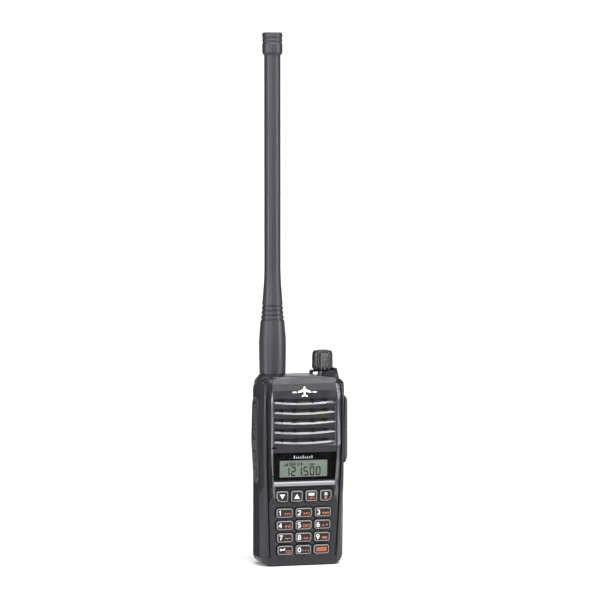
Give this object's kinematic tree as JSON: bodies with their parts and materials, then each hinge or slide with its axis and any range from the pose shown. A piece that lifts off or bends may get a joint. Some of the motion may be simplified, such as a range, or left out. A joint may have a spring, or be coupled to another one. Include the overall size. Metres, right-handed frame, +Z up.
{
  "type": "handheld aviation radio",
  "caption": "Handheld aviation radio with whip antenna, volume knob, speaker slots, small display, keypad, side transmit bar, slide-off battery pack and belt clip.",
  "frame": {"origin": "centre of the footprint on the standing surface, under the body", "axes": "+Z up along the antenna, -Y out of the front with the display and keys, +X to the viewer's right"},
  "size_m": [0.0563, 0.036, 0.3141],
  "materials": {
    "case_plastic": "fine matt texture",
    "case_back": "matt paint",
    "battery_plastic": "matt",
    "cover_plastic": "matt",
    "clip_plastic": "satin",
    "jack_plastic": "matt",
    "side_rubber": "matt",
    "key_rubber": "matt",
    "knob_rubber": "satin",
    "antenna_rubber": "satin",
    "antenna_cap": "satin",
    "seal_rubber": "matt",
    "window": "clear, printed black at the back",
    "lcd": "grey-green",
    "silver_trim": "brushed",
    "speaker_cloth": "woven",
    "speaker_steel": "plated",
    "speaker_cone": "matt",
    "part_aluminium": "plain",
    "dome_steel": "plated",
    "board": "solder mask",
    "board_dark": "film",
    "screw_steel": "blackened",
    "spring_steel": "plain",
    "nickel": "plated",
    "insulator": "plain",
    "gold": "plated",
    "cell_wrap": "shrink film"
  },
  "bodies": {
    "radio": {"front_case": "case_plastic", "rear_case": "case_back", "case_seal": "seal_rubber", "case_screws": "screw_steel", "strap_loop": "case_plastic", "display_window": "window", "lcd_glass": "lcd", "trim_bar": "silver_trim", "speaker_net": "speaker_cloth", "speaker_frame": "speaker_steel", "speaker_cone": "speaker_cone", "microphone": "part_aluminium", "key_domes": "dome_steel", "logic_board": "board", "main_board": "board", "side_switches": "board_dark", "side_bezel": "side_rubber", "audio_jacks": "jack_plastic", "volume_control": "screw_steel", "antenna_jack": "nickel", "jack_insulator": "insulator", "battery_terminals": "gold", "clip_base": "clip_plastic", "clip_screws": "screw_steel", "clip_spring": "spring_steel"},
    "antenna": {"antenna_plug": "nickel", "plug_pin": "gold", "antenna_base": "antenna_rubber", "antenna_sheath": "antenna_rubber", "antenna_cap": "antenna_cap", "antenna_coil": "gold"},
    "volume": {"volume_shaft": "part_aluminium", "volume_knob": "knob_rubber"},
    "ptt": {"ptt_button": "side_rubber"},
    "side_upper": {"side_key_upper": "side_rubber"},
    "side_lower": {"side_key_lower": "side_rubber"},
    "cover": {"jack_cover": "cover_plastic"},
    "battery": {"battery_case": "battery_plastic", "battery_lid": "battery_plastic", "battery_cells": "cell_wrap", "battery_contacts": "gold", "latch_catch": "clip_plastic"},
    "release": {"release_button": "clip_plastic"},
    "clip": {"clip_lever": "clip_plastic"},
    "key_down": {"key_down": "key_rubber"},
    "key_up": {"key_up": "key_rubber"},
    "key_recall": {"key_recall": "key_rubber"},
    "key_clear": {"key_clear": "key_rubber"},
    "key_1": {"key_1": "key_rubber"},
    "key_2": {"key_2": "key_rubber"},
    "key_3": {"key_3": "key_rubber"},
    "key_4": {"key_4": "key_rubber"},
    "key_5": {"key_5": "key_rubber"},
    "key_6": {"key_6": "key_rubber"},
    "key_7": {"key_7": "key_rubber"},
    "key_8": {"key_8": "key_rubber"},
    "key_9": {"key_9": "key_rubber"},
    "key_enter": {"key_enter": "key_rubber"},
    "key_0": {"key_0": "key_rubber"},
    "key_func": {"key_func": "key_rubber"}
  },
  "joints": [
    {"name": "antenna_twist", "type": "hinge", "parent": "radio", "child": "antenna", "pos_m": [-0.0157, -0.0014, 0.1172], "axis": [0, 0, 1], "range_deg": [0, 90]},
    {"name": "volume_turn", "type": "hinge", "parent": "radio", "child": "volume", "pos_m": [0.015, -0.0014, 0.1192], "axis": [0, 0, -1], "range_deg": [0, 280]},
    {"name": "ptt_press", "type": "slide", "parent": "radio", "child": "ptt", "axis": [1, 0, 0], "range_m": [0, 0.001], "stiffness_N_per_m": 3000, "springref_m": -0.0004},
    {"name": "side_upper_press", "type": "slide", "parent": "radio", "child": "side_upper", "axis": [1, 0, 0], "range_m": [0, 0.0006], "stiffness_N_per_m": 3000, "springref_m": -0.0003},
    {"name": "side_lower_press", "type": "slide", "parent": "radio", "child": "side_lower", "axis": [1, 0, 0], "range_m": [0, 0.0006], "stiffness_N_per_m": 3000, "springref_m": -0.0003},
    {"name": "cover_swing", "type": "hinge", "parent": "radio", "child": "cover", "pos_m": [0.0271, 0.0009, 0.0802], "axis": [0, 0, 1], "range_deg": [0, 110]},
    {"name": "battery_slide", "type": "slide", "parent": "radio", "child": "battery", "axis": [0, 0, -1], "range_m": [0, 0.09], "deforming": ["latch_catch"]},
    {"name": "release_press", "type": "slide", "parent": "battery", "child": "release", "axis": [0, 0, 1], "range_m": [0, 0.0018], "stiffness_N_per_m": 1500, "springref_m": -0.0006},
    {"name": "clip_squeeze", "type": "hinge", "parent": "radio", "child": "clip", "pos_m": [0, 0.0164, 0.1027], "axis": [1, 0, 0], "range_deg": [0, 12], "stiffness_Nm_per_rad": 0.35, "springref_deg": -28.65, "deforming": ["clip_spring"]},
    {"name": "key_down_press", "type": "slide", "parent": "radio", "child": "key_down", "axis": [0, 0.9986, 0.0523], "range_m": [0, 0.0005], "stiffness_N_per_m": 3000, "springref_m": -0.0003},
    {"name": "key_up_press", "type": "slide", "parent": "radio", "child": "key_up", "axis": [0, 0.9986, 0.0523], "range_m": [0, 0.0005], "stiffness_N_per_m": 3000, "springref_m": -0.0003},
    {"name": "key_recall_press", "type": "slide", "parent": "radio", "child": "key_recall", "axis": [0, 0.9986, 0.0523], "range_m": [0, 0.0005], "stiffness_N_per_m": 3000, "springref_m": -0.0003},
    {"name": "key_clear_press", "type": "slide", "parent": "radio", "child": "key_clear", "axis": [0, 0.9986, 0.0523], "range_m": [0, 0.0005], "stiffness_N_per_m": 3000, "springref_m": -0.0003},
    {"name": "key_1_press", "type": "slide", "parent": "radio", "child": "key_1", "axis": [0, 0.9986, 0.0523], "range_m": [0, 0.0005], "stiffness_N_per_m": 3000, "springref_m": -0.0003},
    {"name": "key_2_press", "type": "slide", "parent": "radio", "child": "key_2", "axis": [0, 0.9986, 0.0523], "range_m": [0, 0.0005], "stiffness_N_per_m": 3000, "springref_m": -0.0003},
    {"name": "key_3_press", "type": "slide", "parent": "radio", "child": "key_3", "axis": [0, 0.9986, 0.0523], "range_m": [0, 0.0005], "stiffness_N_per_m": 3000, "springref_m": -0.0003},
    {"name": "key_4_press", "type": "slide", "parent": "radio", "child": "key_4", "axis": [0, 0.9986, 0.0523], "range_m": [0, 0.0005], "stiffness_N_per_m": 3000, "springref_m": -0.0003},
    {"name": "key_5_press", "type": "slide", "parent": "radio", "child": "key_5", "axis": [0, 0.9986, 0.0523], "range_m": [0, 0.0005], "stiffness_N_per_m": 3000, "springref_m": -0.0003},
    {"name": "key_6_press", "type": "slide", "parent": "radio", "child": "key_6", "axis": [0, 0.9986, 0.0523], "range_m": [0, 0.0005], "stiffness_N_per_m": 3000, "springref_m": -0.0003},
    {"name": "key_7_press", "type": "slide", "parent": "radio", "child": "key_7", "axis": [0, 0.9986, 0.0523], "range_m": [0, 0.0005], "stiffness_N_per_m": 3000, "springref_m": -0.0003},
    {"name": "key_8_press", "type": "slide", "parent": "radio", "child": "key_8", "axis": [0, 0.9986, 0.0523], "range_m": [0, 0.0005], "stiffness_N_per_m": 3000, "springref_m": -0.0003},
    {"name": "key_9_press", "type": "slide", "parent": "radio", "child": "key_9", "axis": [0, 0.9986, 0.0523], "range_m": [0, 0.0005], "stiffness_N_per_m": 3000, "springref_m": -0.0003},
    {"name": "key_enter_press", "type": "slide", "parent": "radio", "child": "key_enter", "axis": [0, 0.9986, 0.0523], "range_m": [0, 0.0005], "stiffness_N_per_m": 3000, "springref_m": -0.0003},
    {"name": "key_0_press", "type": "slide", "parent": "radio", "child": "key_0", "axis": [0, 0.9986, 0.0523], "range_m": [0, 0.0005], "stiffness_N_per_m": 3000, "springref_m": -0.0003},
    {"name": "key_func_press", "type": "slide", "parent": "radio", "child": "key_func", "axis": [0, 0.9986, 0.0523], "range_m": [0, 0.0005], "stiffness_N_per_m": 3000, "springref_m": -0.0003}
  ]
}
